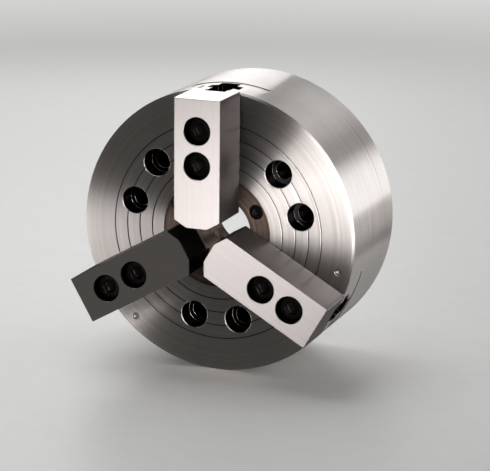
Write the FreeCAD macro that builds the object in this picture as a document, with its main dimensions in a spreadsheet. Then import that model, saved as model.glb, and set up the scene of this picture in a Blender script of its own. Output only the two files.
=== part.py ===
"""Three-jaw wedge-type power chuck with a through hole, in millimetres.

Frame: origin at the centre of the rear mounting face, +Y towards the spindle, so the front face is
at Y = -body_depth. +Z runs up through jaw 1 and +X is to the right when facing the chuck. Depths are
measured from the front face towards the spindle. Jaws 2 and 3 are jaw 1 turned about the Y axis.
At rest the wedge plunger is in the middle of its travel.
"""
import FreeCAD, Part
import math
import os
import re

import Sketcher

DIMENSIONS = {
    # Chuck body
    "body_radius": 105.0,
    "body_depth": 91.0,
    "rim_chamfer": 1.5,
    "rear_chamfer": 1.0,
    "register_radius": 85.0,
    "register_depth": 5.0,
    "cavity_radius": 52.05,
    "web_rear": 20.0,
    "groove_radius": 50.75,
    "groove_pitch": 9.95,
    "groove_width": 1.1,
    "groove_depth": 0.6,
    # Mounting bolts: three pairs between the jaws
    "bolt_circle_radius": 66.7,
    "bolt_pair_angle": 30.0,
    "bolt_hole_radius": 6.75,
    "bolt_head_radius": 10.0,
    "bolt_head_depth": 14.0,
    "edge_break": 0.5,
    # Guide bush in the front of the bore
    "bore_radius": 26.0,
    "tube_radius": 30.0,
    "tube_rear": 48.0,
    "flange_radius": 41.5,
    "flange_front": 0.2,
    "flange_rear": 10.0,
    "bush_chamfer": 1.0,
    "slide_gap": 0.05,
    # M6 screws of the guide bush
    "bush_screw_circle": 35.0,
    "bush_screw_angle": 30.0,
    "bush_screw_front": 0.7,
    "bush_screw_seat": 6.7,
    "bush_screw_tip": 18.0,
    "bush_screw_head_radius": 5.0,
    "bush_screw_shank_radius": 2.95,
    "bush_screw_hex_corner": 2.89,
    "bush_screw_hex_depth": 3.0,
    "bush_screw_bore_radius": 5.5,
    "bush_screw_hole_radius": 3.3,
    "bush_screw_tapped_radius": 3.0,
    # Wedge plunger
    "plunger_radius": 52.0,
    "plunger_front": 28.5,
    "plunger_rear": 75.0,
    "plunger_chamfer": 1.0,
    "plunger_travel": 16.0,
    "jaw_travel": 3.7,
    "wedge_front": 41.0,
    "wedge_rear": 66.0,
    "tee_rear": 62.0,
    "tee_neck_depth": 3.5,
    "tee_depth": 7.5,
    "tee_neck_half": 6.5,
    "tee_head_half": 11.0,
    # Draw nut and what holds it in the plunger
    "nut_radius": 36.5,
    "nut_front": 58.0,
    "nut_lip_rear": 62.0,
    "nut_lip_radius": 26.5,
    "nut_thread_radius": 28.9,
    "nut_hub_radius": 34.0,
    "nut_hub_rear": 74.5,
    "nut_end_float": 0.1,
    "nut_groove_at": 65.0,
    "nut_groove_depth": 1.2,
    "nut_notch_half": 4.0,
    "nut_chamfer": 1.0,
    "ring_radius": 45.0,
    "ring_bore": 34.4,
    "ring_front": 71.0,
    # M4 countersunk screws of the retaining ring
    "ring_screw_circle": 40.0,
    "ring_screw_recess": 0.2,
    "ring_screw_head_radius": 3.8,
    "ring_screw_head_height": 1.8,
    "ring_screw_head_taper": 1.7,
    "ring_screw_shank_radius": 1.95,
    "ring_screw_reach": 6.5,
    "ring_screw_hex_depth": 1.2,
    "ring_screw_hole_radius": 2.2,
    "ring_screw_countersink": 1.9,
    "ring_screw_tapped_radius": 2.0,
    "ring_screw_tapped_depth": 7.5,
    "small_hex_corner": 1.44,
    # Detents that drag on the draw nut
    "detent_hole_radius": 2.6,
    "detent_ball_radius": 2.5,
    "detent_coil_radius": 1.9,
    "detent_wire_radius": 0.35,
    "detent_hex_depth": 2.5,
    "detent_screw_inner": 46.6,
    "detent_screw_outer": 51.6,
    # Base jaw and its guideway
    "guide_half": 17.5,
    "guide_wide_half": 29.0,
    "guide_step": 17.5,
    "guide_floor": 30.0,
    "guide_inner": 38.0,
    "corner_relief_radius": 1.0,
    "base_inner": 43.5,
    "base_outer": 104.4,
    "base_proud": 1.2,
    "tongue_inner": 54.0,
    "leg_front": 26.0,
    "leg_rear": 52.0,
    "leg_outer": 62.0,
    "leg_pocket_half": 18.0,
    "leg_pocket_outer": 66.0,
    "leg_pocket_rear": 54.0,
    "slot_neck_half": 8.0,
    "slot_head_half": 12.5,
    "slot_step": 10.0,
    "slot_floor": 20.0,
    "slot_relief_half": 7.5,
    "slot_relief_floor": 28.0,
    # Serrations between base jaw and top jaw
    "tooth_pitch": 1.5,
    "tooth_height": 0.9,
    "tooth_space_wide": 1.27,
    "tooth_space_narrow": 0.23,
    "tooth_gap": 0.04,
    # Top jaw, its bolts and its nut
    "jaw_half": 17.5,
    "jaw_front": 38.3,
    "jaw_outer": 104.65,
    "jaw_edge_break": 0.4,
    "nose_radius": 10.8,
    "nose_half": 8.0,
    "nose_corner": 16.3,
    "jaw_bolt_outer": 81.5,
    "jaw_bolt_spacing": 25.0,
    "jaw_bolt_bore_radius": 10.0,
    "jaw_bolt_bore_depth": 18.0,
    "jaw_bolt_bore_break": 0.3,
    "jaw_bolt_hole_radius": 6.5,
    "jaw_bolt_head_radius": 9.0,
    "jaw_bolt_head_height": 12.0,
    "jaw_bolt_head_chamfer": 0.8,
    "jaw_bolt_shank_radius": 5.95,
    "jaw_bolt_length": 35.0,
    "jaw_bolt_hex_corner": 5.77,
    "jaw_bolt_hex_depth": 6.0,
    "keyway_half": 8.0,
    "keyway_depth": 5.0,
    "t_nut_inner": 46.5,
    "t_nut_outer": 91.5,
    "t_nut_neck_half": 7.9,
    "t_nut_head_half": 12.3,
    "t_nut_rear": 18.5,
    "t_nut_key_height": 3.5,
    "t_nut_chamfer": 0.6,
    "t_nut_tapped_radius": 6.0,
    # Lubrication ports beside the guideways
    "port_radius": 96.0,
    "port_angle": 18.0,
    "port_plug_radius": 3.0,
    "port_plug_depth": 6.0,
    "port_plug_front": 0.2,
    "port_plug_length": 5.2,
    "port_cup_radius": 1.5,
    "port_cup_depth": 0.8,
    "port_passage_radius": 2.0,
    "port_passage_depth": 24.0,
    # Shared allowances: cuts run past the surfaces they open, and joined solids overlap
    "cut_overrun": 1.0,
    "flat_cut_height": 20.0,
    "rim_overrun": 5.0,
    "join_overlap": 0.5,
}

JAW_TURNS = {1: 0, 2: 120, 3: 240}
SERRATED_BASE_TEETH = 41
SERRATED_TOP_TEETH = 62
TOP_TEETH_INSIDE_BASE = 21
SPRING_TURNS = 4
ORIGIN_POINT = (-1, 1)

DOC = FreeCAD.newDocument("power_chuck")


# ---------------------------------------------------------------- sheet and sketches

def make_sheet():
    """Write the driving dimensions to the spreadsheet, one aliased row each."""
    sheet = DOC.addObject("Spreadsheet::Sheet", "dims")
    for row, (name, value) in enumerate(DIMENSIONS.items(), start=1):
        sheet.set(f"A{row}", name)
        sheet.set(f"B{row}", str(value))
        sheet.setAlias(f"B{row}", name)
    DOC.recompute()
    return sheet


SHEET = make_sheet()


def bound(formula):
    """The formula with each dimension's name pointed at its cell."""
    def point_at_cell(word):
        name = word.group()
        return f"dims.{name}" if name in DIMENSIONS else name
    return re.sub(r"[a-z_]+", point_at_cell, formula)


def number(formula):
    return float(SHEET.evalExpression(bound(formula)))


def origin_feature(body, role):
    return next(item for item in body.Origin.OriginFeatures if item.Role == role)


def new_body(label, turn=0):
    body = DOC.addObject("PartDesign::Body", label)
    body.Label = label
    body.Placement = FreeCAD.Placement(
        FreeCAD.Vector(0, 0, 0), FreeCAD.Rotation(FreeCAD.Vector(0, 1, 0), turn))
    return body


def new_sketch(body, plane):
    sketch = body.newObject("Sketcher::SketchObject", "Sketch")
    sketch.AttachmentSupport = (origin_feature(body, plane), [""])
    sketch.MapMode = "FlatFace"
    return sketch


def bind_point(sketch, geometry, point, across, up):
    """Tie a sketch point to its coordinates."""
    for kind, formula in (("DistanceX", across), ("DistanceY", up)):
        constraint = Sketcher.Constraint(kind, *ORIGIN_POINT, geometry, point, number(formula))
        index = sketch.addConstraint(constraint)
        sketch.setExpression(f"Constraints[{index}]", bound(formula))


def add_polygon(sketch, corners):
    first = sketch.GeometryCount
    points = [FreeCAD.Vector(number(across), number(up), 0) for across, up in corners]
    for start, end in zip(points, points[1:] + points[:1]):
        sketch.addGeometry(Part.LineSegment(start, end))
    count = len(points)
    for step in range(count):
        following = first + (step + 1) % count
        sketch.addConstraint(Sketcher.Constraint("Coincident", first + step, 2, following, 1))
    for step, (across, up) in enumerate(corners):
        bind_point(sketch, first + step, 1, across, up)


def add_circle(sketch, across, up, radius):
    centre = FreeCAD.Vector(number(across), number(up), 0)
    circle = Part.Circle(centre, FreeCAD.Vector(0, 0, 1), number(radius))
    geometry = sketch.addGeometry(circle)
    index = sketch.addConstraint(Sketcher.Constraint("Radius", geometry, number(radius)))
    sketch.setExpression(f"Constraints[{index}]", bound(radius))
    bind_point(sketch, geometry, 3, across, up)


def side_sketch(body, *outlines):
    """Sketch in the plane of the chuck axis and jaw 1. Corners are (depth, distance from the axis)."""
    sketch = new_sketch(body, "YZ_Plane")
    for corners in outlines:
        add_polygon(sketch, [(f"({depth}) - body_depth", height) for depth, height in corners])
    return sketch


def face_sketch(body, depth):
    """Empty sketch parallel to the front face, at a depth. Its axes are X and Z."""
    sketch = new_sketch(body, "XZ_Plane")
    sketch.setExpression("AttachmentOffset.Base.z", bound(f"body_depth - ({depth})"))
    return sketch


def face_rectangle(body, depth, half_width, low, high):
    sketch = face_sketch(body, depth)
    corners = [
        (f"-({half_width})", low),
        (half_width, low),
        (half_width, high),
        (f"-({half_width})", high),
    ]
    add_polygon(sketch, corners)
    return sketch


def face_circle(body, depth, across, up, radius):
    sketch = face_sketch(body, depth)
    add_circle(sketch, across, up, radius)
    return sketch


def end_sketch(body, distance):
    """Empty sketch square to jaw 1's direction, at a distance from the chuck axis. Its axes are X and Y."""
    sketch = new_sketch(body, "XY_Plane")
    sketch.setExpression("AttachmentOffset.Base.z", bound(distance))
    return sketch


def add_hexagon(sketch, across, up, corner_radius):
    corners = []
    for step in range(6):
        turn = math.radians(60 * step)
        corners.append((
            f"{across} + {corner_radius} * {math.cos(turn):.6f}",
            f"{up} + {corner_radius} * {math.sin(turn):.6f}",
        ))
    add_polygon(sketch, corners)


def face_hexagon(body, depth, across, up, corner_radius):
    sketch = face_sketch(body, depth)
    add_hexagon(sketch, across, up, corner_radius)
    return sketch


# ---------------------------------------------------------------- features

def add_feature(body, kind, **properties):
    feature = body.newObject(f"PartDesign::{kind}", kind)
    for name, value in properties.items():
        setattr(feature, name, value)
    body.Tip = feature
    return feature


def pad(body, sketch, length, to_front=False):
    """Add material from a face sketch towards the spindle, or towards the front."""
    feature = add_feature(body, "Pad", Profile=sketch, Reversed=not to_front)
    feature.setExpression("Length", bound(length))
    return feature


def pocket(body, sketch, length, to_front=False):
    """Cut from a face sketch towards the spindle, or towards the front."""
    feature = add_feature(body, "Pocket", Profile=sketch, Reversed=to_front)
    feature.setExpression("Length", bound(length))
    return feature


def pocket_outwards(body, sketch, length):
    """Cut from an end sketch along jaw 1's direction."""
    feature = add_feature(body, "Pocket", Profile=sketch, Reversed=True)
    feature.setExpression("Length", bound(length))
    return feature


def corner_reliefs(body, start, places):
    """Round reliefs along jaw 1's direction, on both sides, at places given by side offset and depth."""
    sketch = end_sketch(body, start)
    for across, depth in places:
        for side in (-1, 1):
            add_circle(sketch, f"{side} * ({across})", f"({depth}) - body_depth", "corner_relief_radius")
    return pocket_outwards(body, sketch, f"body_radius + rim_overrun - ({start})")


def pad_across(body, sketch, half_width):
    feature = add_feature(body, "Pad", Profile=sketch, SideType="Symmetric")
    feature.setExpression("Length", bound(f"2 * ({half_width})"))
    return feature


def pocket_across(body, sketch, half_width):
    feature = add_feature(body, "Pocket", Profile=sketch, SideType="Symmetric")
    feature.setExpression("Length", bound(f"2 * ({half_width})"))
    return feature


def turned(body, sketch):
    return add_feature(body, "Revolution", Profile=sketch, ReferenceAxis=(sketch, ["H_Axis"]), Angle=360)


def turned_cut(body, sketch):
    return add_feature(body, "Groove", Profile=sketch, ReferenceAxis=(sketch, ["H_Axis"]), Angle=360)


def around(body, features, count=3):
    """Repeat features around the chuck axis."""
    axis = (origin_feature(body, "Y_Axis"), [""])
    return add_feature(
        body, "PolarPattern", Originals=features, Axis=axis, Angle=360, Occurrences=count)


def along(body, features, spacing, count):
    """Repeat features outwards along jaw 1."""
    direction = (origin_feature(body, "Z_Axis"), [""])
    pattern = add_feature(
        body, "LinearPattern", Originals=features, Direction=direction, Mode="Spacing", Occurrences=count)
    pattern.setExpression("Offset", bound(spacing))
    return pattern


def chamfer(body, size, wanted):
    """Chamfer the edges of the body so far that a test picks."""
    DOC.recompute()
    base = body.Tip
    names = [f"Edge{index}" for index, edge in enumerate(base.Shape.Edges, start=1) if wanted(edge)]
    feature = add_feature(body, "Chamfer", Base=(base, names))
    feature.setExpression("Size", bound(size))
    return feature


def in_plane(edge, depth):
    level = number(f"({depth}) - body_depth")
    return all(abs(vertex.Y - level) < 1e-4 for vertex in edge.Vertexes)


def is_circle(edge, depth, radius):
    """True for an edge that is part of a circle of a radius, in the plane at a depth."""
    curve = edge.Curve
    return (
        isinstance(curve, Part.Circle)
        and abs(curve.Radius - number(radius)) < 1e-4
        and in_plane(edge, depth)
    )


def polar(radius, angle):
    """Sketch coordinates of a point at a radius and an angle in degrees."""
    return f"{radius} * cos({angle} * 1 deg)", f"{radius} * sin({angle} * 1 deg)"


def wedge(depth, offset="0"):
    """Distance from the chuck axis to the plunger's inclined face at a depth, plus an offset."""
    slope = "jaw_travel / plunger_travel"
    return f"wedge_front + (({depth}) - plunger_front) * {slope} + ({offset})"


def wedge_band(front, rear, outer, inner):
    """Outline that follows the inclined face, between two offsets from it."""
    return [
        (front, wedge(front, outer)),
        (rear, wedge(rear, outer)),
        (rear, wedge(rear, inner)),
        (front, wedge(front, inner)),
    ]


def socket_screw(body, across, up, head_front, seat, tip, head_radius, shank_radius, hex_corner, hex_depth):
    """Socket-head screw whose head faces the front. Returns its features, for a pattern."""
    head = pad(body, face_circle(body, head_front, across, up, head_radius), f"({seat}) - ({head_front})")
    shank = pad(body, face_circle(body, seat, across, up, shank_radius), f"({tip}) - ({seat})")
    socket = pocket(body, face_hexagon(body, head_front, across, up, hex_corner), hex_depth)
    return [head, shank, socket]


# ---------------------------------------------------------------- chuck body

def make_chuck_body():
    body = new_body("chuck_body")
    seat_radius = "flange_radius + slide_gap"
    section = [
        ("flange_rear", "tube_radius + slide_gap"),
        ("flange_rear", seat_radius),
        ("0", seat_radius),
        ("0", "body_radius - rim_chamfer"),
        ("rim_chamfer", "body_radius"),
        ("body_depth - rear_chamfer", "body_radius"),
        ("body_depth", "body_radius - rear_chamfer"),
        ("body_depth", "register_radius"),
        ("body_depth - register_depth", "register_radius"),
        ("body_depth - register_depth", "cavity_radius"),
        ("web_rear", "cavity_radius"),
        ("web_rear", "tube_radius + slide_gap"),
    ]
    turned(body, side_sketch(body, section))

    grooves = []
    for step in range(4):
        middle = f"groove_radius + {step} * groove_pitch"
        grooves.append([
            ("0", f"{middle} - groove_width / 2"),
            ("0", f"{middle} + groove_width / 2"),
            ("groove_depth", middle),
        ])
    turned_cut(body, side_sketch(body, *grooves))

    bolt_cuts = []
    for side in (-1, 1):
        across, up = polar("bolt_circle_radius", f"(30 + {side} * bolt_pair_angle / 2)")
        head_circle = face_circle(body, "0", across, up, "bolt_head_radius")
        hole_circle = face_circle(body, "0", across, up, "bolt_hole_radius")
        bolt_cuts.append(pocket(body, head_circle, "bolt_head_depth"))
        bolt_cuts.append(pocket(body, hole_circle, "body_depth"))
    around(body, bolt_cuts)
    chamfer(body, "edge_break", lambda edge: is_circle(edge, "0", "bolt_head_radius"))

    guide_far = "body_radius + rim_overrun"
    narrow = face_rectangle(body, "0", "guide_half", "guide_inner", guide_far)
    wide = face_rectangle(body, "guide_step", "guide_wide_half", "guide_inner", guide_far)
    leg = face_rectangle(body, "guide_floor", "leg_pocket_half", "guide_inner", "leg_pocket_outer")
    way_cuts = [
        pocket(body, narrow, "guide_floor"),
        pocket(body, wide, "guide_floor - guide_step"),
        pocket(body, leg, "leg_pocket_rear - guide_floor"),
        corner_reliefs(
            body, "guide_inner",
            [("guide_wide_half", "guide_step"), ("guide_wide_half", "guide_floor")]),
    ]
    around(body, way_cuts)

    across, up = polar("bush_screw_circle", "bush_screw_angle")
    tapped = face_circle(body, "flange_rear", across, up, "bush_screw_tapped_radius")
    around(body, [pocket(body, tapped, "web_rear - flange_rear")])

    across, up = polar("port_radius", "(90 + port_angle)")
    plug_hole = face_circle(body, "0", across, up, "port_plug_radius")
    passage = face_circle(body, "0", across, up, "port_passage_radius")
    port_cuts = [
        pocket(body, plug_hole, "port_plug_depth"),
        pocket(body, passage, "port_passage_depth"),
    ]
    around(body, port_cuts)
    return body


def make_grease_plugs():
    """Flush lubrication nipples, one beside each guideway."""
    body = new_body("grease_plugs")
    across, up = polar("port_radius", "(90 + port_angle)")
    plug_circle = face_circle(body, "port_plug_front", across, up, "port_plug_radius - slide_gap")
    cup_circle = face_circle(body, "port_plug_front", across, up, "port_cup_radius")
    plug = pad(body, plug_circle, "port_plug_length")
    cup = pocket(body, cup_circle, "port_cup_depth")
    around(body, [plug, cup])
    return body


# ---------------------------------------------------------------- guide bush

def make_guide_bush():
    body = new_body("guide_bush")
    section = [
        ("flange_front", "bore_radius + bush_chamfer"),
        ("flange_front", "flange_radius - edge_break"),
        ("flange_front + edge_break", "flange_radius"),
        ("flange_rear", "flange_radius"),
        ("flange_rear", "tube_radius"),
        ("tube_rear - bush_chamfer", "tube_radius"),
        ("tube_rear", "tube_radius - bush_chamfer"),
        ("tube_rear", "bore_radius"),
        ("flange_front + bush_chamfer", "bore_radius"),
    ]
    turned(body, side_sketch(body, section))
    across, up = polar("bush_screw_circle", "bush_screw_angle")
    head = face_circle(body, "flange_front", across, up, "bush_screw_bore_radius")
    hole = face_circle(body, "flange_front", across, up, "bush_screw_hole_radius")
    screw_cuts = [
        pocket(body, head, "bush_screw_seat - flange_front"),
        pocket(body, hole, "flange_rear - flange_front"),
    ]
    around(body, screw_cuts)
    return body


def make_guide_bush_screws():
    """M6 socket-head screws, five millimetres across the flats."""
    body = new_body("guide_bush_screws")
    across, up = polar("bush_screw_circle", "bush_screw_angle")
    screw = socket_screw(
        body, across, up, head_front="bush_screw_front", seat="bush_screw_seat", tip="bush_screw_tip",
        head_radius="bush_screw_head_radius", shank_radius="bush_screw_shank_radius",
        hex_corner="bush_screw_hex_corner", hex_depth="bush_screw_hex_depth")
    around(body, screw)
    return body


# ---------------------------------------------------------------- wedge plunger and draw nut

def make_wedge_plunger():
    body = new_body("wedge_plunger")
    section = [
        ("plunger_front", "tube_radius + slide_gap"),
        ("plunger_front", "plunger_radius - plunger_chamfer"),
        ("plunger_front + plunger_chamfer", "plunger_radius"),
        ("plunger_rear - plunger_chamfer", "plunger_radius"),
        ("plunger_rear", "plunger_radius - plunger_chamfer"),
        ("plunger_rear", "ring_radius + slide_gap"),
        ("ring_front", "ring_radius + slide_gap"),
        ("ring_front", "nut_radius"),
        ("nut_front", "nut_radius"),
        ("nut_front", "tube_radius + slide_gap"),
    ]
    turned(body, side_sketch(body, section))

    front = "(plunger_front - cut_overrun)"
    flat = wedge_band(front, "wedge_rear", "flat_cut_height", "0")
    neck = wedge_band(front, "tee_rear", "cut_overrun", "-tee_neck_depth - join_overlap")
    head = wedge_band(front, "tee_rear", "-tee_neck_depth", "-tee_depth")
    wedge_cuts = [
        pocket_across(body, side_sketch(body, flat), "plunger_radius"),
        pocket_across(body, side_sketch(body, neck), "tee_neck_half + slide_gap"),
        pocket_across(body, side_sketch(body, head), "tee_head_half + slide_gap"),
    ]
    around(body, wedge_cuts)

    detent = end_sketch(body, "-(plunger_radius + cut_overrun)")
    add_circle(detent, "0", "nut_groove_at - body_depth", "detent_hole_radius")
    around(body, [pocket_outwards(body, detent, "plunger_radius + cut_overrun - nut_radius + join_overlap")])

    tapped_end = "ring_front - ring_screw_tapped_depth"
    tapped = face_circle(body, tapped_end, "ring_screw_circle", "0", "ring_screw_tapped_radius")
    around(body, [pocket(body, tapped, "ring_screw_tapped_depth")], count=6)
    return body


def make_draw_nut():
    """Nut for the draw tube, bored at the thread's minor diameter, with four key notches."""
    body = new_body("draw_nut")
    outer = "nut_radius - slide_gap"
    section = [
        ("nut_front + nut_end_float", "nut_lip_radius"),
        ("nut_front + nut_end_float", outer),
        ("nut_groove_at - nut_groove_depth", outer),
        ("nut_groove_at", f"{outer} - nut_groove_depth"),
        ("nut_groove_at + nut_groove_depth", outer),
        ("ring_front - nut_end_float", outer),
        ("ring_front - nut_end_float", "nut_hub_radius"),
        ("nut_hub_rear", "nut_hub_radius"),
        ("nut_hub_rear", "nut_thread_radius + nut_chamfer"),
        ("nut_hub_rear - nut_chamfer", "nut_thread_radius"),
        ("nut_lip_rear", "nut_thread_radius"),
        ("nut_lip_rear", "nut_lip_radius"),
    ]
    turned(body, side_sketch(body, section))
    notch = face_rectangle(
        body, "nut_front", "nut_notch_half",
        "nut_lip_radius - 2 * cut_overrun", "nut_thread_radius + join_overlap")
    around(body, [pocket(body, notch, "nut_lip_rear - nut_front")], count=4)
    return body


def make_nut_retaining_ring():
    body = new_body("nut_retaining_ring")
    section = [
        ("ring_front", "ring_bore"),
        ("ring_front", "ring_radius"),
        ("plunger_rear", "ring_radius"),
        ("plunger_rear", "ring_bore"),
    ]
    turned(body, side_sketch(body, section))
    hole = face_circle(body, "ring_front", "ring_screw_circle", "0", "ring_screw_hole_radius")
    around(body, [pocket(body, hole, "plunger_rear - ring_front")], count=6)
    chamfer(
        body, "ring_screw_countersink",
        lambda edge: is_circle(edge, "plunger_rear", "ring_screw_hole_radius"))
    return body


def make_retaining_ring_screws():
    """M4 countersunk screws, whose heads face the spindle."""
    body = new_body("retaining_ring_screws")
    head_face = "(plunger_rear - ring_screw_recess)"
    head_front = f"({head_face} - ring_screw_head_height)"
    tip = "(ring_front - ring_screw_reach)"
    place = ("ring_screw_circle", "0")
    head_circle = face_circle(body, head_front, *place, "ring_screw_head_radius")
    shank_circle = face_circle(body, tip, *place, "ring_screw_shank_radius")
    hexagon = face_hexagon(body, head_face, *place, "small_hex_corner")
    screw = [
        pad(body, head_circle, "ring_screw_head_height"),
        pad(body, shank_circle, f"{head_front} + join_overlap - {tip}"),
        pocket(body, hexagon, "ring_screw_hex_depth", to_front=True),
    ]
    around(body, screw, count=6)
    chamfer(
        body, "ring_screw_head_taper",
        lambda edge: is_circle(edge, head_front, "ring_screw_head_radius"))
    return body


def detent_ball_centre():
    """Distance of a detent ball's centre from the chuck axis, just clear of the nut's groove."""
    return "(nut_radius - nut_groove_depth + detent_ball_radius * sqrt(2))"


def make_detent_balls():
    body = new_body("detent_balls")
    sketch = new_sketch(body, "YZ_Plane")
    middle = "nut_groove_at - body_depth"
    radius = "detent_ball_radius"
    centre = FreeCAD.Vector(number(middle), -number(detent_ball_centre()), 0)
    arc = Part.ArcOfCircle(
        Part.Circle(centre, FreeCAD.Vector(0, 0, 1), number(radius)), -math.pi / 2, math.pi / 2)
    sketch.addGeometry(arc)
    sketch.addGeometry(Part.LineSegment(arc.EndPoint, arc.StartPoint))
    sketch.addConstraint(Sketcher.Constraint("Coincident", 0, 2, 1, 1))
    sketch.addConstraint(Sketcher.Constraint("Coincident", 1, 2, 0, 1))
    sketch.addConstraint(Sketcher.Constraint("PointOnObject", 0, 3, 1))
    sketch.addConstraint(Sketcher.Constraint("Vertical", 1))
    index = sketch.addConstraint(Sketcher.Constraint("Radius", 0, number(radius)))
    sketch.setExpression(f"Constraints[{index}]", bound(radius))
    bind_point(sketch, 0, 3, middle, f"-({detent_ball_centre()})")
    ball = add_feature(body, "Revolution", Profile=sketch, ReferenceAxis=(sketch, ["Edge2"]), Angle=360)
    around(body, [ball])
    return body


def make_detent_springs():
    """Compression springs between the balls and the set screws."""
    body = new_body("detent_springs")
    wire = "detent_wire_radius"
    sketch = new_sketch(body, "YZ_Plane")
    sketch.setExpression("AttachmentOffset.Base.x", bound("nut_groove_at - body_depth"))
    low_end = f"{detent_ball_centre()} + detent_ball_radius + {wire} + slide_gap"
    add_circle(sketch, "detent_coil_radius", f"-({low_end})", wire)
    coil = add_feature(
        body, "AdditiveHelix", Profile=sketch, ReferenceAxis=(sketch, ["V_Axis"]), Mode=0, Reversed=True)
    coil.setExpression("Pitch", bound(f"(detent_screw_inner - 2 * {wire} - 2 * slide_gap"
                                      f" - {detent_ball_centre()} - detent_ball_radius) / {SPRING_TURNS}"))
    coil.setExpression("Height", f"Pitch * {SPRING_TURNS}")
    around(body, [coil])
    return body


def make_detent_set_screws():
    body = new_body("detent_set_screws")
    middle = "nut_groove_at - body_depth"
    sketch = end_sketch(body, "-detent_screw_outer")
    add_circle(sketch, "0", middle, "detent_ball_radius")
    screw = add_feature(body, "Pad", Profile=sketch)
    screw.setExpression("Length", bound("detent_screw_outer - detent_screw_inner"))
    driver = end_sketch(body, "-detent_screw_outer")
    add_hexagon(driver, "0", middle, "small_hex_corner")
    around(body, [screw, pocket_outwards(body, driver, "detent_hex_depth")])
    return body


# ---------------------------------------------------------------- jaws

def tooth_space(crest, into):
    """Outline of one space between serration teeth, cut from the crest plane at a depth."""
    middle, height = crest
    root = f"{height} + {into} * tooth_height"
    return [
        (height, f"{middle} - tooth_space_wide / 2"),
        (root, f"{middle} - tooth_space_narrow / 2"),
        (root, f"{middle} + tooth_space_narrow / 2"),
        (height, f"{middle} + tooth_space_wide / 2"),
    ]


def make_master_jaw(index):
    """Base jaw: tongued slide with a serrated top, a T-slot and an inclined T-foot."""
    body = new_body(f"master_jaw_{index}", JAW_TURNS[index])
    floor = "(guide_floor - slide_gap)"
    rough_end = "(base_outer + 1)"
    profile = [
        ("-base_proud", "base_inner"),
        ("-base_proud", rough_end),
        (floor, rough_end),
        (floor, "leg_outer"),
        ("leg_rear", "leg_outer"),
        ("leg_rear", wedge("leg_rear", "slide_gap")),
        ("leg_front", wedge("leg_front", "slide_gap")),
        ("leg_front", "base_inner"),
    ]
    pad_across(body, side_sketch(body, profile), "guide_half - slide_gap")
    tongue_front = "(guide_step + slide_gap)"
    tongues = face_rectangle(body, tongue_front, "guide_wide_half - slide_gap", "tongue_inner", rough_end)
    pad(body, tongues, f"{floor} - {tongue_front}")

    neck = wedge_band("leg_front", "leg_rear", "cut_overrun", "-tee_neck_depth - join_overlap")
    head = wedge_band("leg_front", "leg_rear", "-tee_neck_depth - slide_gap", "-tee_depth + slide_gap")
    pad_across(body, side_sketch(body, neck), "tee_neck_half")
    pad_across(body, side_sketch(body, head), "tee_head_half")

    end_trim = [
        ("-base_proud - cut_overrun", "base_outer"),
        ("-base_proud - cut_overrun", "base_outer + 2 * rim_overrun"),
        ("guide_floor + cut_overrun", "base_outer + 2 * rim_overrun"),
        ("guide_floor + cut_overrun", "base_outer"),
    ]
    turned_cut(body, side_sketch(body, end_trim))

    slot_near = "(base_inner - cut_overrun)"
    slot_far = "(base_outer + cut_overrun)"
    slot_neck = face_rectangle(body, "-base_proud", "slot_neck_half", slot_near, slot_far)
    slot_head = face_rectangle(body, "slot_step", "slot_head_half", slot_near, slot_far)
    slot_relief = face_rectangle(body, "slot_floor", "slot_relief_half", "leg_outer", slot_far)
    pocket(body, slot_neck, "slot_step + base_proud")
    pocket(body, slot_head, "slot_floor - slot_step")
    pocket(body, slot_relief, "slot_relief_floor - slot_floor")
    corner_reliefs(body, "tongue_inner", [("guide_half - slide_gap", tongue_front)])

    first = tooth_space(("base_inner + tooth_pitch / 2", "-base_proud"), 1)
    space = pocket_across(body, side_sketch(body, first), "guide_half + cut_overrun")
    along(body, [space], "tooth_pitch", SERRATED_BASE_TEETH)
    return body


def make_top_jaw(index):
    """Soft jaw with a truncated V nose, two counterbored holes and a serrated back."""
    body = new_body(f"top_jaw_{index}", JAW_TURNS[index])
    back = "(-base_proud + tooth_height - tooth_gap)"
    plan = [
        ("-jaw_half", "jaw_outer"),
        ("-jaw_half", "nose_corner"),
        ("-nose_half", "nose_radius"),
        ("nose_half", "nose_radius"),
        ("jaw_half", "nose_corner"),
        ("jaw_half", "jaw_outer"),
    ]
    sketch = face_sketch(body, "-jaw_front")
    add_polygon(sketch, plan)
    pad(body, sketch, f"jaw_front + {back}")
    chamfer(body, "jaw_edge_break", lambda edge: not in_plane(edge, back))

    for step in (0, 1):
        up = f"jaw_bolt_outer - {step} * jaw_bolt_spacing"
        head = face_circle(body, "-jaw_front", "0", up, "jaw_bolt_bore_radius")
        hole = face_circle(body, "-jaw_front", "0", up, "jaw_bolt_hole_radius")
        pocket(body, head, "jaw_bolt_bore_depth")
        pocket(body, hole, "jaw_front")
    chamfer(
        body, "jaw_bolt_bore_break",
        lambda edge: is_circle(edge, "-jaw_front", "jaw_bolt_bore_radius"))
    keyway_floor = "-(base_proud + keyway_depth)"
    keyway = face_rectangle(body, keyway_floor, "keyway_half", "0", "jaw_outer + cut_overrun")
    pocket(body, keyway, "base_proud + keyway_depth + cut_overrun")

    first = tooth_space((f"base_inner - {TOP_TEETH_INSIDE_BASE} * tooth_pitch", back), -1)
    space = pocket_across(body, side_sketch(body, first), "jaw_half + cut_overrun")
    along(body, [space], "tooth_pitch", SERRATED_TOP_TEETH)
    return body


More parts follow.
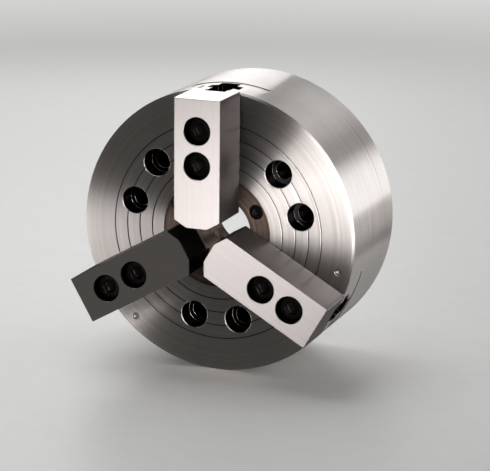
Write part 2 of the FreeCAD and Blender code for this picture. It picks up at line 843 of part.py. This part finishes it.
def make_t_nut(index):
    """Nut bar for both bolts of a top jaw: it slides in the base jaw's T-slot and keys the top jaw."""
    body = new_body(f"t_nut_{index}", JAW_TURNS[index])
    ends = ("t_nut_inner", "t_nut_outer")
    key_front = "-(base_proud + t_nut_key_height)"
    head_front = "(slot_step + slide_gap)"
    pad(body, face_rectangle(body, key_front, "t_nut_neck_half", *ends), f"{head_front} - {key_front}")
    pad(body, face_rectangle(body, head_front, "t_nut_head_half", *ends), f"t_nut_rear - {head_front}")
    chamfer(body, "t_nut_chamfer", lambda edge: in_plane(edge, "t_nut_rear"))
    for step in (0, 1):
        up = f"jaw_bolt_outer - {step} * jaw_bolt_spacing"
        tapped = face_circle(body, key_front, "0", up, "t_nut_tapped_radius")
        pocket(body, tapped, f"t_nut_rear - {key_front}")
    return body


def make_jaw_bolts(index):
    """Two M12 socket-head bolts, ten millimetres across the flats."""
    body = new_body(f"jaw_bolts_{index}", JAW_TURNS[index])
    seat = "(jaw_bolt_bore_depth - jaw_front)"
    head_front = f"({seat} - jaw_bolt_head_height)"
    screw = socket_screw(
        body, "0", "jaw_bolt_outer - jaw_bolt_spacing", head_front=head_front, seat=seat,
        tip=f"{seat} + jaw_bolt_length", head_radius="jaw_bolt_head_radius",
        shank_radius="jaw_bolt_shank_radius", hex_corner="jaw_bolt_hex_corner",
        hex_depth="jaw_bolt_hex_depth")
    along(body, screw, "jaw_bolt_spacing", 2)
    chamfer(
        body, "jaw_bolt_head_chamfer",
        lambda edge: is_circle(edge, head_front, "jaw_bolt_head_radius"))
    return body


# ---------------------------------------------------------------- check and export

def check_document():
    """Stop if an object failed, a cut removed nothing, or a sub-part has no valid shape."""
    for item in DOC.Objects:
        if "Invalid" in item.State or "Error" in item.State:
            raise RuntimeError(f"{item.Name} failed: {item.State}")
        if item.TypeId in ("PartDesign::Pocket", "PartDesign::Groove"):
            removed = item.BaseFeature.Shape.Volume - item.Shape.Volume
            if removed < 1e-3:
                raise RuntimeError(f"{item.Name} removes nothing")


def export(bodies):
    os.makedirs("parts", exist_ok=True)
    for body in bodies:
        shape = body.Shape
        if shape.isNull() or not shape.isValid():
            raise RuntimeError(f"{body.Label} has no valid shape")
        shape.exportStep(f"parts/{body.Label}.step")


def make_chuck():
    bodies = [
        make_chuck_body(),
        make_grease_plugs(),
        make_guide_bush(),
        make_guide_bush_screws(),
        make_wedge_plunger(),
        make_draw_nut(),
        make_nut_retaining_ring(),
        make_retaining_ring_screws(),
        make_detent_balls(),
        make_detent_springs(),
        make_detent_set_screws(),
    ]
    for index in JAW_TURNS:
        bodies += [make_master_jaw(index), make_t_nut(index), make_top_jaw(index), make_jaw_bolts(index)]
    DOC.recompute()
    check_document()
    export(bodies)


make_chuck()
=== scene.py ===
"""Studio scene for a three-jaw power chuck. Every CAD part stays as it is and gets its finish here."""

import math
from functools import partial

import bpy
from mathutils import Matrix, Vector


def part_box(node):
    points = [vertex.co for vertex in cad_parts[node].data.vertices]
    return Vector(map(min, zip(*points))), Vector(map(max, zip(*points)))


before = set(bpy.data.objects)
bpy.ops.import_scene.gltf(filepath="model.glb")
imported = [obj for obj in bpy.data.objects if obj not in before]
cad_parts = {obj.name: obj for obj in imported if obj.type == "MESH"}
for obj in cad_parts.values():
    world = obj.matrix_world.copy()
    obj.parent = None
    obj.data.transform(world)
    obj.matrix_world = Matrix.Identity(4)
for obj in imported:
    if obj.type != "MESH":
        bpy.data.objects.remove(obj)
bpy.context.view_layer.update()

# Jaws: the turn of each about the chuck's axis in degrees, and how much painted shade darkens its long sides
# and nose
JAW_TURNS = {1: 0.0, 2: 120.0, 3: 240.0}
JAW_SIDE_SHADE = {1: 0.82, 2: 0.55, 3: 0.55}
JAW_NOSE_SHADE = 0.85

# Places in the frame, in metres
BODY_LOW, BODY_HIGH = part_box("chuck_body")
BODY_FRONT = BODY_LOW.y
FLOOR_LEVEL = BODY_LOW.z
RIM_RADIUS = BODY_HIGH.z
JAW_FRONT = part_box("top_jaw_1")[0].y
BOLTS_LOW, BOLTS_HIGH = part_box("jaw_bolts_1")
JAW_BOLTS_MIDDLE = (BOLTS_LOW.z + BOLTS_HIGH.z) / 2.0
JAW_BOLTS_HALF_SPACING = 0.0125
BOLT_CIRCLE_RADIUS = 0.0667

# Where the painted shade starts and ends, in metres: a radius just over a counterbore's, radii near the rim,
# and depths below the face of the body or of a jaw
COUNTERBORE_SHADE_RADIUS = 0.0103
FACE_SHADE_RADIUS = RIM_RADIUS - 0.005
BASE_JAW_SHADE_RADII = (RIM_RADIUS - 0.0010, RIM_RADIUS - 0.0007)
HOLE_SHADE_DEPTHS = (0.0006, 0.0905)
WEB_SHADE_DEPTHS = (0.00025, 0.0302)
JAW_HOLE_SHADE_DEPTH = 0.0005

# Angles of the mounting holes in radians: from pair to pair, to the first pair's middle, and half the angle
# between the two holes of a pair
THIRD_OF_TURN = 2.0 * math.pi / 3.0
HOLE_PAIR_MIDDLE = math.radians(30.0)
HOLE_PAIR_HALF = math.radians(15.0)

MILLIMETRE = 0.001

# Texture of the steel: scales per metre, the broad marks' scale as a share of the fine ones', and the parts
# of the noises' ranges that are used
BLOTCH_SCALE = 28.0
GRAIN_SCALE = 900.0
BROAD_MARKS_SHARE = 0.12
BLOTCH_RANGE = (0.35, 0.68)
MARK_RANGE = (0.3, 0.7)

# Strength of what the texture does to the roughness, the colour and the relief
MARK_ROUGHNESS = (0.82, 1.18)
FILM_ROUGHNESS = 0.06
EDGE_ROUGHNESS = -0.3
EDGE_WEAR = 0.75
GRAIN_RELIEF = 0.25
BUMP_STRENGTH = 0.4

# Cosines between which a finish changes: of the normal to the chuck's axis or to the marks, of the rounded
# normal to the true one, and of a jaw's normal to the directions across and along the jaw
SQUARE_TO_ALONG = (0.3, 0.7)
ROUNDED_TO_FLAT = (0.80, 0.995)
JAW_SIDE_COSINES = (0.9, 0.98)
JAW_NOSE_COSINES = (-0.3, -0.4)

# Camera: aimed at a point on the chuck's front face, from a distance in metres and at angles in degrees
AIM = Vector((0.0221, BODY_FRONT, -0.0006))
CAMERA_DISTANCE = 1.560
CAMERA_AZIMUTH = 21.25
CAMERA_ELEVATION = 14.77
CAMERA_ROLL = 0.57
CAMERA_LENS = 158.8

# Studio: sizes in metres, and how bright the surroundings are to the camera, in reflections and in the shade
FLOOR_SIZE = 12.0
FLOOR_FADE = (0.4, 2.2)
SPECKLE_SCALE = 60.0
LIGHT_DISTANCE = 1.25
BACKDROP_STRENGTH = 0.9
ROOM_STRENGTH = 0.32
AIR_STRENGTH = 0.45
WARM = (1.0, 0.955, 0.945)


def rgb(red, green, blue):
    return (red, green, blue, 1.0)


WHITE = rgb(1.0, 1.0, 1.0)
BACKDROP = rgb(0.80, 0.80, 0.79)
ROOM = rgb(0.30, 0.29, 0.275)
# Near-black colour of the painted shade in holes, grooves, slots and on the jaws' sides
PAINTED_SHADE = rgb(0.018, 0.016, 0.017)
WORN_STEEL = rgb(0.80, 0.77, 0.755)


# ---------------------------------------------------------------- node helpers

def add_node(tree, kind, inputs=None, **settings):
    """A shader node with its settings, and its inputs linked to sockets or set to values."""
    made = tree.nodes.new(kind)
    for name, value in settings.items():
        setattr(made, name, value)
    for name, value in (inputs or {}).items():
        socket = made.inputs[name]
        if isinstance(value, bpy.types.NodeSocket):
            tree.links.new(value, socket)
        else:
            socket.default_value = value
    return made


def new_material(name):
    """A node material: its node tree and its shader come with it."""
    material = bpy.data.materials.new(name)
    material.use_nodes = True
    tree = material.node_tree
    return material, tree, tree.nodes["Principled BSDF"]


def calculate(tree, operation, *values):
    """Result of a Math node on sockets or numbers."""
    inputs = dict(enumerate(values))
    return add_node(tree, "ShaderNodeMath", inputs, operation=operation).outputs[0]


def length_of(tree, first, second):
    """Length of a flat vector, from its two components."""
    square = calculate(tree, "MULTIPLY", first, first)
    square = calculate(tree, "MULTIPLY_ADD", second, second, square)
    return calculate(tree, "SQRT", square)


def dot_product(tree, first, second):
    made = add_node(tree, "ShaderNodeVectorMath", {0: first, 1: second}, operation="DOT_PRODUCT")
    return made.outputs["Value"]


def vector_of(tree, x, y, z):
    return add_node(tree, "ShaderNodeCombineXYZ", {"X": x, "Y": y, "Z": z}).outputs[0]


def components(tree, vector):
    return add_node(tree, "ShaderNodeSeparateXYZ", {"Vector": vector}).outputs


def remap(tree, value, low, high, new_low, new_high, smooth=False):
    """Value moved from one range to another, and held inside it."""
    inputs = {"Value": value, "From Min": low, "From Max": high, "To Min": new_low, "To Max": new_high}
    kind = "SMOOTHSTEP" if smooth else "LINEAR"
    return add_node(tree, "ShaderNodeMapRange", inputs, interpolation_type=kind).outputs[0]


def above(tree, value, limit, blur):
    """1 where the value lies above a limit, 0 where it lies below."""
    return remap(tree, value, limit - blur, limit + blur, 0.0, 1.0)


def below(tree, value, limit, blur):
    """1 where the value lies below a limit, 0 where it lies above."""
    return remap(tree, value, limit - blur, limit + blur, 1.0, 0.0)


def between(tree, value, low, high, blur):
    """1 where the value lies between two limits, 0 outside."""
    return calculate(tree, "MULTIPLY", above(tree, value, low, blur), below(tree, value, high, blur))


def mix_colours(tree, share, first, second):
    """First colour where the share is 0, second where it is 1."""
    made = add_node(tree, "ShaderNodeMix", data_type="RGBA")
    for index, value in ((0, share), (6, first), (7, second)):
        if isinstance(value, bpy.types.NodeSocket):
            tree.links.new(value, made.inputs[index])
        else:
            made.inputs[index].default_value = value
    return made.outputs[2]


def noise(tree, vector, scale, detail):
    inputs = {"Vector": vector, "Scale": scale, "Detail": detail, "Roughness": 0.6}
    return add_node(tree, "ShaderNodeTexNoise", inputs).outputs["Fac"]


def line_noise(tree, position, scale, detail):
    """Noise that varies only along one coordinate, for lay marks."""
    inputs = {"W": position, "Scale": scale, "Detail": detail, "Roughness": 0.7}
    return add_node(tree, "ShaderNodeTexNoise", inputs, noise_dimensions="1D").outputs["Fac"]


def coordinates(tree, kind):
    """Position or normal in the frame of the part itself, so that the finish moves with it."""
    return add_node(tree, "ShaderNodeTexCoord").outputs[kind]


def true_normal(tree):
    return add_node(tree, "ShaderNodeNewGeometry").outputs["Normal"]


def to_world(tree, vector):
    made = add_node(
        tree, "ShaderNodeVectorTransform", {"Vector": vector},
        vector_type="VECTOR", convert_from="OBJECT", convert_to="WORLD")
    return made.outputs[0]


def turned_to_jaw_1(tree, vector, turn):
    """Components of a vector after a turn about the chuck's axis, from another jaw's place to jaw 1's."""
    inputs = {"Vector": vector, "Rotation": (0.0, -math.radians(turn), 0.0)}
    return components(tree, add_node(tree, "ShaderNodeMapping", inputs).outputs[0])


# ---------------------------------------------------------------- lays

def turned_lay(tree):
    """Lay of a lathe: the coordinate across the marks, and the direction along them."""
    position = components(tree, coordinates(tree, "Object"))
    radius = length_of(tree, position["X"], position["Z"])
    across = calculate(tree, "SUBTRACT", radius, position["Y"])
    back = calculate(tree, "MULTIPLY", position["Z"], -1.0)
    direction = add_node(
        tree, "ShaderNodeVectorMath", {0: vector_of(tree, back, 0.0, position["X"])}, operation="NORMALIZE")
    return across, to_world(tree, direction.outputs["Vector"])


def ground_lay(tree, turn):
    """Lay of a surface grinder along a jaw: the coordinate across the marks, and the direction along them."""
    position = turned_to_jaw_1(tree, coordinates(tree, "Object"), turn)
    across = calculate(tree, "SUBTRACT", position["X"], position["Y"])
    angle = math.radians(turn)
    direction = vector_of(tree, math.sin(angle), 0.0, math.cos(angle))
    return across, to_world(tree, direction)


# ---------------------------------------------------------------- painted shade

def body_painted_shade(tree):
    """Where shade is painted dark onto the chuck body: its drilled holes, and whatever is sunk into its face.
    """
    position = components(tree, coordinates(tree, "Object"))
    depth = calculate(tree, "SUBTRACT", position["Y"], BODY_FRONT)
    radius = length_of(tree, position["X"], position["Z"])

    # Distance from the nearest mounting hole's axis, with the six holes folded onto one
    angle = calculate(tree, "ARCTAN2", position["Z"], position["X"])
    folded = calculate(tree, "WRAP", angle, THIRD_OF_TURN, 0.0)
    from_middle = calculate(tree, "ABSOLUTE", calculate(tree, "SUBTRACT", folded, HOLE_PAIR_MIDDLE))
    from_hole = calculate(tree, "SUBTRACT", from_middle, HOLE_PAIR_HALF)
    sideways = calculate(tree, "MULTIPLY", calculate(tree, "SINE", from_hole), radius)
    outwards = calculate(tree, "MULTIPLY", calculate(tree, "COSINE", from_hole), radius)
    outwards = calculate(tree, "SUBTRACT", outwards, BOLT_CIRCLE_RADIUS)
    gap = length_of(tree, sideways, outwards)

    in_hole = below(tree, gap, COUNTERBORE_SHADE_RADIUS, blur=0.0001)
    drilled = calculate(tree, "MULTIPLY", in_hole, between(tree, depth, *HOLE_SHADE_DEPTHS, blur=0.0003))
    inside_rim = below(tree, radius, FACE_SHADE_RADIUS, blur=0.001)
    sunk = calculate(tree, "MULTIPLY", inside_rim, between(tree, depth, *WEB_SHADE_DEPTHS, blur=0.00015))
    return calculate(tree, "MAXIMUM", drilled, sunk)


def jaw_painted_shade(tree, turn, side_shade):
    """Where shade is painted dark onto a top jaw: fully in its bolt holes, and thinly on its sides and nose.
    """
    position = turned_to_jaw_1(tree, coordinates(tree, "Object"), turn)
    from_middle = calculate(tree, "ABSOLUTE", calculate(tree, "SUBTRACT", position["Z"], JAW_BOLTS_MIDDLE))
    along = calculate(tree, "SUBTRACT", from_middle, JAW_BOLTS_HALF_SPACING)
    gap = length_of(tree, position["X"], along)
    depth = calculate(tree, "SUBTRACT", position["Y"], JAW_FRONT)
    in_hole = below(tree, gap, COUNTERBORE_SHADE_RADIUS, blur=0.0001)
    drilled = calculate(tree, "MULTIPLY", in_hole, above(tree, depth, JAW_HOLE_SHADE_DEPTH, blur=0.0002))

    normal = turned_to_jaw_1(tree, coordinates(tree, "Normal"), turn)
    sides = remap(tree, calculate(tree, "ABSOLUTE", normal["X"]), *JAW_SIDE_COSINES, 0.0, side_shade)
    nose = remap(tree, normal["Z"], *JAW_NOSE_COSINES, 0.0, JAW_NOSE_SHADE)
    return calculate(tree, "MAXIMUM", drilled, calculate(tree, "MAXIMUM", sides, nose))


def base_painted_shade(tree):
    """Where shade is painted dark onto a base jaw: everywhere but on its end at the rim."""
    position = components(tree, coordinates(tree, "Object"))
    radius = length_of(tree, position["X"], position["Z"])
    return remap(tree, radius, *BASE_JAW_SHADE_RADII, 1.0, 0.0)


# ---------------------------------------------------------------- finishes

def edge_share(tree, radius):
    """Share from 0 on flats to 1 on edges, and the normal that is rounded there."""
    rounded = add_node(tree, "ShaderNodeBevel", {"Radius": radius}, samples=6).outputs[0]
    edge, flat = ROUNDED_TO_FLAT
    return remap(tree, dot_product(tree, rounded, true_normal(tree)), flat, edge, 0.0, 1.0), rounded


def steel(name, colour, dark_colour, roughness, anisotropy, mark_pitch, mark_depth, lay=turned_lay,
          shade_mask=None, edge=0.25, edge_colour=WORN_STEEL, mottle=0.35, rim_polish=1.0):
    """Machined steel with lay marks, a mottled film of oil, painted shade in recesses and other shaded
    places, and worn edges.

    Pitch and depth of the marks and the edge's radius are in millimetres. The rim polish is a factor on the
    roughness of the surfaces that run along the chuck's axis.
    """
    material, tree, shader = new_material(name)
    position = coordinates(tree, "Object")
    normal = true_normal(tree)

    across, direction = lay(tree)
    marks_per_metre = 1.0 / (mark_pitch * MILLIMETRE)
    fine = line_noise(tree, across, marks_per_metre, detail=4.0)
    broad = line_noise(tree, across, BROAD_MARKS_SHARE * marks_per_metre, detail=2.0)
    marks = calculate(tree, "MULTIPLY_ADD", broad, 0.5, calculate(tree, "MULTIPLY", fine, 0.5))
    blotches = noise(tree, position, BLOTCH_SCALE, detail=5.0)
    film = remap(tree, blotches, *BLOTCH_RANGE, 0.0, mottle, smooth=True)
    worn, rounded = edge_share(tree, edge * MILLIMETRE)

    tone = mix_colours(tree, remap(tree, marks, *MARK_RANGE, 0.0, 1.0), dark_colour, colour)
    tone = mix_colours(tree, film, tone, dark_colour)
    # Painted shade: where the mask says, the colour goes near black and the reflection is dimmed
    if shade_mask:
        shade_share = shade_mask(tree)
        tone = mix_colours(tree, shade_share, tone, PAINTED_SHADE)
        tree.links.new(mix_colours(tree, shade_share, WHITE, PAINTED_SHADE), shader.inputs["Specular Tint"])
    tone = mix_colours(tree, calculate(tree, "MULTIPLY", worn, EDGE_WEAR), tone, edge_colour)
    tree.links.new(tone, shader.inputs["Base Color"])
    shader.inputs["Metallic"].default_value = 1.0

    smoothest, roughest = MARK_ROUGHNESS
    rough = remap(tree, marks, *MARK_RANGE, roughness * smoothest, roughness * roughest)
    rough = calculate(tree, "MULTIPLY_ADD", film, FILM_ROUGHNESS, rough)
    rough = calculate(tree, "MULTIPLY_ADD", worn, EDGE_ROUGHNESS * roughness, rough)
    axial = calculate(tree, "ABSOLUTE", components(tree, normal)["Y"])
    rough = calculate(tree, "MULTIPLY", rough, remap(tree, axial, *SQUARE_TO_ALONG, rim_polish, 1.0))
    tree.links.new(rough, shader.inputs["Roughness"])

    # The highlight is stretched across the marks, except on a surface that the marks meet end on
    end_on = calculate(tree, "ABSOLUTE", dot_product(tree, normal, direction))
    tree.links.new(remap(tree, end_on, *SQUARE_TO_ALONG, anisotropy, 0.0), shader.inputs["Anisotropic"])
    tree.links.new(direction, shader.inputs["Tangent"])
    shader.inputs["Anisotropic Rotation"].default_value = 0.25

    grain = noise(tree, position, GRAIN_SCALE, detail=2.0)
    bump = add_node(tree, "ShaderNodeBump", {
        "Height": calculate(tree, "MULTIPLY_ADD", grain, GRAIN_RELIEF, marks),
        "Normal": rounded,
        "Strength": BUMP_STRENGTH,
        "Distance": mark_depth * MILLIMETRE,
    })
    tree.links.new(bump.outputs[0], shader.inputs["Normal"])
    return material


def assign(material, *nodes):
    for name in nodes:
        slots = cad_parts[name].data.materials
        slots.clear()
        slots.append(material)


def finish_parts():
    """Give every CAD part its finish."""
    turned_body = steel(
        "turned_body", rgb(0.66, 0.635, 0.62), rgb(0.47, 0.45, 0.435), roughness=0.38, anisotropy=1.0,
        # The body gets painted shade in its holes and in whatever is sunk into its face
        mark_pitch=0.45, mark_depth=0.010, shade_mask=body_painted_shade, rim_polish=0.83)
    turned_bush = steel(
        "turned_bush", rgb(0.27, 0.205, 0.165), rgb(0.060, 0.042, 0.034), roughness=0.40, anisotropy=0.85,
        mark_pitch=0.4, mark_depth=0.008, edge_colour=rgb(0.30, 0.26, 0.22), mottle=0.7)
    # The base jaws get painted shade everywhere inside the slot
    turned_base = steel(
        "turned_base", rgb(0.64, 0.62, 0.605), rgb(0.46, 0.44, 0.425), roughness=0.42, anisotropy=0.9,
        mark_pitch=0.45, mark_depth=0.010, shade_mask=base_painted_shade, rim_polish=0.75)
    hard_turned = steel(
        "hard_turned", rgb(0.50, 0.49, 0.47), rgb(0.36, 0.34, 0.32), roughness=0.3, anisotropy=0.7,
        mark_pitch=0.3, mark_depth=0.008)
    bright = steel(
        "bright_steel", rgb(0.72, 0.71, 0.70), rgb(0.5, 0.49, 0.48), roughness=0.18, anisotropy=0.2,
        mark_pitch=0.5, mark_depth=0.005)
    black = steel(
        "black_oxide", rgb(0.040, 0.036, 0.034), rgb(0.012, 0.011, 0.010), roughness=0.34, anisotropy=0.2,
        mark_pitch=0.8, mark_depth=0.02, edge=0.2, edge_colour=rgb(0.22, 0.21, 0.20), mottle=0.6)
    assign(turned_body, "chuck_body")
    assign(turned_bush, "guide_bush", "draw_nut")
    assign(hard_turned, "wedge_plunger", "nut_retaining_ring", "grease_plugs")
    assign(bright, "detent_balls", "detent_springs")
    assign(black, "guide_bush_screws", "retaining_ring_screws", "detent_set_screws")
    for index, turn in JAW_TURNS.items():
        # Each top jaw gets painted shade in its bolt holes and on its sides and nose, strongest on jaw 1's
        # sides
        ground = steel(
            f"ground_jaw_{index}", rgb(0.74, 0.705, 0.695), rgb(0.66, 0.63, 0.62), roughness=0.34,
            anisotropy=0.9, mark_pitch=0.35, mark_depth=0.004, edge=0.5, mottle=0.15,
            lay=partial(ground_lay, turn=turn),
            shade_mask=partial(jaw_painted_shade, turn=turn, side_shade=JAW_SIDE_SHADE[index]))
        assign(ground, f"top_jaw_{index}")
        assign(turned_base, f"master_jaw_{index}")
        assign(hard_turned, f"t_nut_{index}")
        assign(black, f"jaw_bolts_{index}")


# ---------------------------------------------------------------- stage

def make_floor():
    """Large pale floor under the chuck's rim. For the camera it fades into the backdrop."""
    bpy.ops.mesh.primitive_plane_add(size=FLOOR_SIZE, location=(0.0, 0.0, FLOOR_LEVEL))
    floor = bpy.context.object
    floor.name = "floor"
    material, tree, shader = new_material("pale_floor")
    position = coordinates(tree, "Object")
    speckle = noise(tree, position, SPECKLE_SCALE, detail=4.0)
    tone = mix_colours(tree, speckle, rgb(0.70, 0.70, 0.69), rgb(0.76, 0.76, 0.75))
    tree.links.new(tone, shader.inputs["Base Color"])
    shader.inputs["Roughness"].default_value = 0.45
    distance = add_node(tree, "ShaderNodeVectorMath", {0: position}, operation="LENGTH").outputs["Value"]
    seen = add_node(tree, "ShaderNodeLightPath").outputs["Is Camera Ray"]
    far = calculate(tree, "MULTIPLY", seen, remap(tree, distance, *FLOOR_FADE, 0.0, 1.0, smooth=True))
    haze = add_node(tree, "ShaderNodeEmission", {"Color": BACKDROP, "Strength": BACKDROP_STRENGTH})
    faded = add_node(tree, "ShaderNodeMixShader", {0: far, 1: shader.outputs[0], 2: haze.outputs[0]})
    tree.links.new(faded.outputs[0], tree.nodes["Material Output"].inputs["Surface"])
    floor.data.materials.append(material)

    # Steel doesn't mirror the floor, and the soft boxes below its level shine through it
    floor.visible_glossy = False
    floor.visible_shadow = False


def make_world():
    """Pale backdrop for the camera, and a dim room for reflections and shade."""
    world = bpy.data.worlds.new("studio")
    bpy.context.scene.world = world
    world.use_nodes = True
    tree = world.node_tree
    tree.nodes.clear()
    glows = ((BACKDROP, BACKDROP_STRENGTH), (ROOM, ROOM_STRENGTH), (BACKDROP, AIR_STRENGTH))
    seen, room, air = [
        add_node(tree, "ShaderNodeBackground", {"Color": colour, "Strength": strength}).outputs[0]
        for colour, strength in glows
    ]
    path = add_node(tree, "ShaderNodeLightPath").outputs
    lit = add_node(tree, "ShaderNodeMixShader", {0: path["Is Glossy Ray"], 1: air, 2: room}).outputs[0]
    chosen = add_node(tree, "ShaderNodeMixShader", {0: path["Is Camera Ray"], 1: lit, 2: seen}).outputs[0]
    add_node(tree, "ShaderNodeOutputWorld", {"Surface": chosen})


def soft_box(name, direction, width, height, radiance, colour=(1.0, 1.0, 1.0), up=(0.0, 0.0, 1.0),
             only=()):
    """Rectangular soft light of a given radiance that faces the chuck, and lights all or only some of it."""
    light = bpy.data.lights.new(name, "AREA")
    light.shape = "RECTANGLE"
    light.size = width
    light.size_y = height
    light.energy = radiance * math.pi * width * height
    light.color = colour
    lamp = bpy.data.objects.new(name, light)
    bpy.context.scene.collection.objects.link(lamp)
    towards = Vector(direction).normalized()
    across = Vector(up).cross(towards).normalized()
    axes = Matrix((across, towards.cross(across), towards)).transposed()
    lamp.matrix_world = Matrix.Translation(AIM + towards * LIGHT_DISTANCE) @ axes.to_4x4()
    lamp.visible_camera = False
    if only:
        receivers = bpy.data.collections.new(name + "_receivers")
        for thing in only:
            receivers.objects.link(thing)
        lamp.light_linking.receiver_collection = receivers


def make_lights():
    """Soft boxes for the highlights. Some spare the top jaws, and two light only one top jaw each."""
    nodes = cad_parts
    body_parts = [part for name, part in nodes.items() if not name.startswith("top_jaw")]
    soft_box("face_box", (0.587, -0.797, 0.132), width=0.45, height=1.40, radiance=16.5, colour=WARM,
             up=(-0.65, -0.33, 0.92), only=body_parts)
    soft_box("left_box", (-0.80, -0.50, -0.33), width=0.36, height=0.50, radiance=8.5, colour=WARM,
             up=(-0.25, 0.0, 0.97), only=body_parts)
    soft_box("side_box", (0.74, 0.66, 0.16), width=0.60, height=0.50, radiance=3.2)
    soft_box("shoulder_box", (0.15, 0.80, 0.57), width=0.60, height=0.55, radiance=1.6, only=body_parts)
    soft_box("low_box", (0.48, 0.65, -0.60), width=0.60, height=0.75, radiance=1.0, up=(0.30, 0.20, 0.47),
             only=body_parts)
    soft_box("top_box", (-0.30, 0.10, 0.95), width=1.10, height=0.80, radiance=2.4)
    soft_box("back_box", (-0.42, 0.79, 0.44), width=0.65, height=0.80, radiance=2.2)
    soft_box("jaw_1_box", (0.0, -0.967, -0.253), width=0.50, height=0.40, radiance=6.3, colour=WARM,
             only=[nodes["top_jaw_1"]])
    soft_box("jaw_2_box", (-0.15, -0.98, 0.118), width=0.50, height=0.40, radiance=6.3, colour=WARM,
             only=[nodes["top_jaw_2"]])


def make_camera():
    """Camera at the photograph's viewing angle."""
    camera = bpy.data.objects.new("camera", bpy.data.cameras.new("camera"))
    bpy.context.scene.collection.objects.link(camera)
    camera.data.lens = CAMERA_LENS
    camera.data.sensor_width = 36.0
    camera.data.clip_start = 0.05
    camera.data.clip_end = 50.0
    azimuth = math.radians(CAMERA_AZIMUTH)
    elevation = math.radians(CAMERA_ELEVATION)
    back = Vector((
        math.sin(azimuth) * math.cos(elevation),
        -math.cos(azimuth) * math.cos(elevation),
        math.sin(elevation),
    ))
    turn = back.to_track_quat("Z", "Y").to_matrix().to_4x4()
    roll = Matrix.Rotation(math.radians(CAMERA_ROLL), 4, "Z")
    camera.matrix_world = Matrix.Translation(AIM + back * CAMERA_DISTANCE) @ turn @ roll
    bpy.context.scene.camera = camera


finish_parts()
make_floor()
make_world()
make_lights()
make_camera()
bpy.context.scene.view_settings.view_transform = "Standard"
